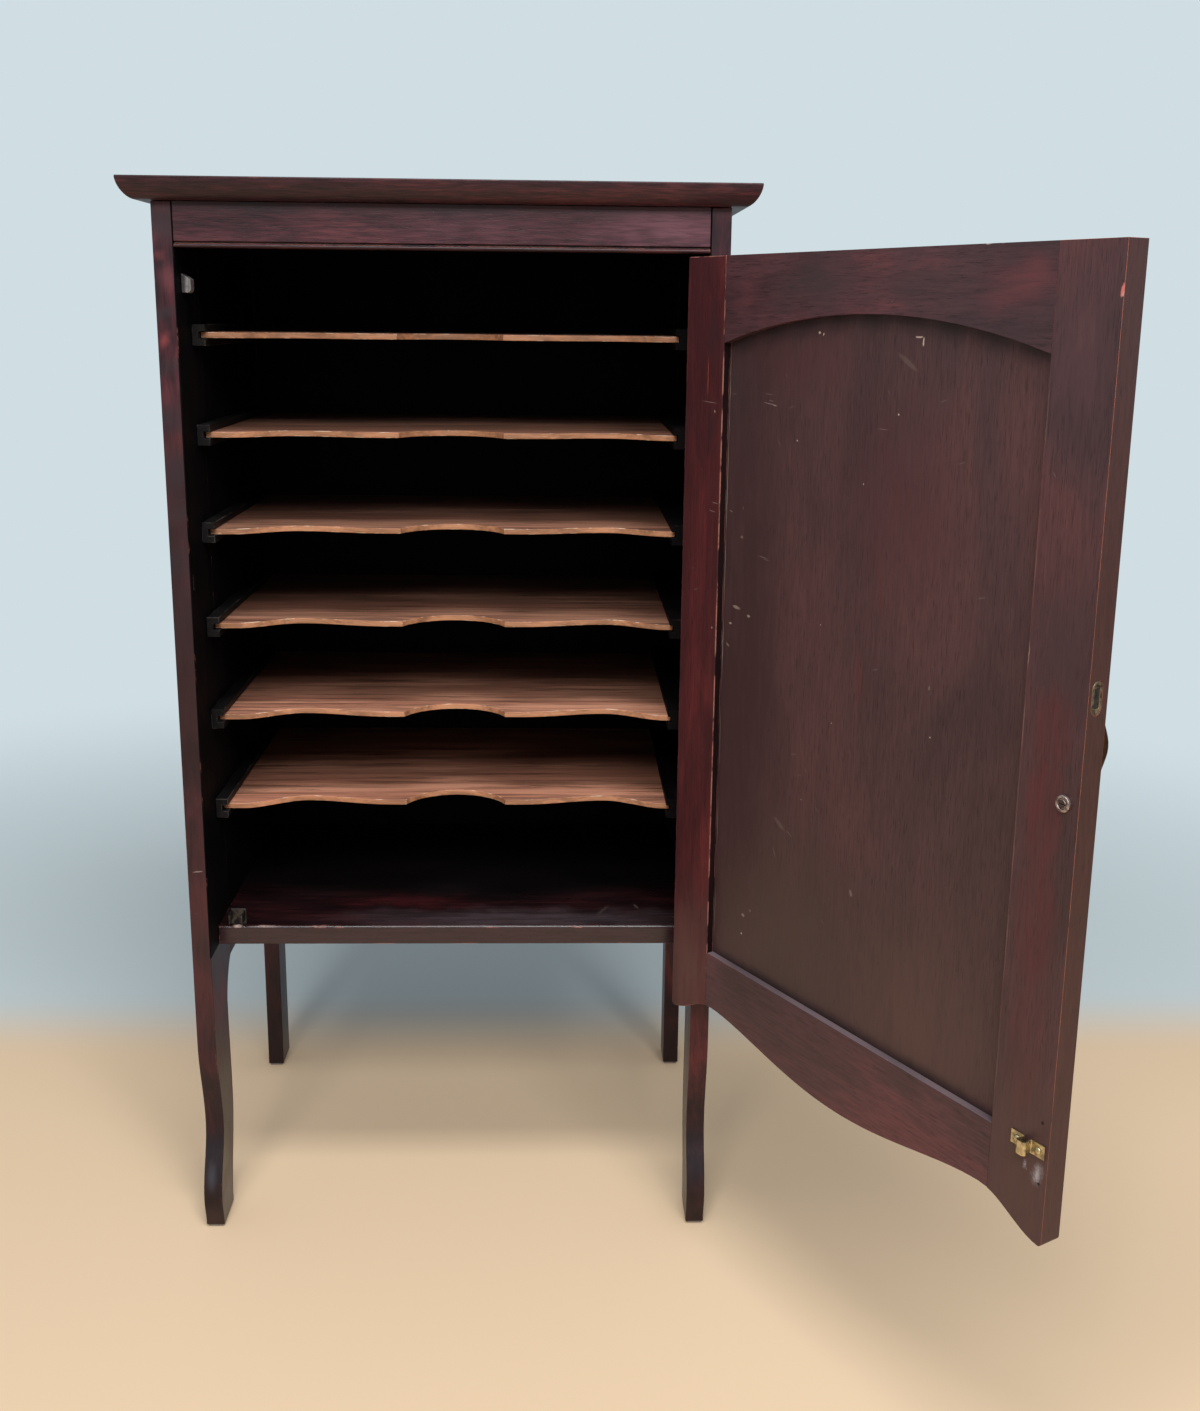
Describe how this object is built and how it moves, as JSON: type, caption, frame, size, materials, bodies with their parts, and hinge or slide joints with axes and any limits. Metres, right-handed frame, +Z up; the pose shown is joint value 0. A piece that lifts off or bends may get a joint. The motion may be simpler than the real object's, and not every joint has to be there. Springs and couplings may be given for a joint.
{
  "type": "sheet music cabinet",
  "caption": "Tall narrow wooden music cabinet on swept legs, with an arched frame-and-panel door standing open and shallow sliding trays with finger notches.",
  "frame": {"origin": "on the floor under the middle of the bounding box, with the door at its open rest angle", "axes": "+Z up, -Y towards the front of the cabinet, +X towards the hinge side"},
  "size_m": [0.7626, 0.8026, 1.0272],
  "materials": {
    "brass": "tarnished",
    "felt": "matt",
    "inner_wood": "dull stained",
    "iron": "dark bronzed",
    "mahogany": "worn French polish",
    "tray_wood": "oiled, straight grain"
  },
  "bodies": {
    "carcass": {"back_panel": "inner_wood", "bottom_board": "mahogany", "catch_clip": "iron", "door_stop_block": "inner_wood", "foot_glide_front_left": "felt", "foot_glide_front_right": "felt", "foot_glide_rear_left": "felt", "foot_glide_rear_right": "felt", "frieze_bead": "mahogany", "frieze_rail": "mahogany", "front_post_left": "mahogany", "front_post_right": "mahogany", "hinge_pin_lower": "brass", "hinge_pin_upper": "brass", "hinge_post_leaf_lower": "brass", "hinge_post_leaf_upper": "brass", "rear_post_left": "mahogany", "rear_post_right": "mahogany", "runner_left_1": "inner_wood", "runner_left_2": "inner_wood", "runner_left_3": "inner_wood", "runner_left_4": "inner_wood", "runner_left_5": "inner_wood", "runner_left_6": "inner_wood", "runner_right_1": "inner_wood", "runner_right_2": "inner_wood", "runner_right_3": "inner_wood", "runner_right_4": "inner_wood", "runner_right_5": "inner_wood", "runner_right_6": "inner_wood", "side_panel_left": "mahogany", "side_panel_right": "mahogany", "top_board": "mahogany"},
    "door": {"catch_screw_1": "brass", "catch_screw_2": "brass", "door_bottom_rail": "mahogany", "door_catch": "brass", "door_handle": "brass", "door_hinge_stile": "mahogany", "door_lock_stile": "mahogany", "door_panel": "mahogany", "door_top_rail": "mahogany", "handle_nut": "iron", "hinge_door_leaf_lower": "brass", "hinge_door_leaf_upper": "brass", "lock_case": "iron", "lock_plate": "brass"},
    "lock_bolt": {"lock_bolt": "iron"},
    "tray_1": {"tray_1": "tray_wood"},
    "tray_2": {"tray_2": "tray_wood"},
    "tray_3": {"tray_3": "tray_wood"},
    "tray_4": {"tray_4": "tray_wood"},
    "tray_5": {"tray_5": "tray_wood"},
    "tray_6": {"tray_6": "tray_wood"}
  },
  "joints": [
    {"name": "door_hinge", "type": "hinge", "parent": "carcass", "child": "door", "pos_m": [0.1335, 0.01443, 0.612], "axis": [0, 0, 1], "range_deg": [-120.75, 54.25]},
    {"name": "lock_bolt_slide", "type": "slide", "parent": "door", "child": "lock_bolt", "axis": [0.5113, -0.8594, 0], "range_m": [0, 0.006]},
    {"name": "tray_1_slide", "type": "slide", "parent": "carcass", "child": "tray_1", "axis": [0, -1, 0], "range_m": [0, 0.225]},
    {"name": "tray_2_slide", "type": "slide", "parent": "carcass", "child": "tray_2", "axis": [0, -1, 0], "range_m": [0, 0.225]},
    {"name": "tray_3_slide", "type": "slide", "parent": "carcass", "child": "tray_3", "axis": [0, -1, 0], "range_m": [0, 0.225]},
    {"name": "tray_4_slide", "type": "slide", "parent": "carcass", "child": "tray_4", "axis": [0, -1, 0], "range_m": [0, 0.225]},
    {"name": "tray_5_slide", "type": "slide", "parent": "carcass", "child": "tray_5", "axis": [0, -1, 0], "range_m": [0, 0.225]},
    {"name": "tray_6_slide", "type": "slide", "parent": "carcass", "child": "tray_6", "axis": [0, -1, 0], "range_m": [0, 0.225]}
  ]
}
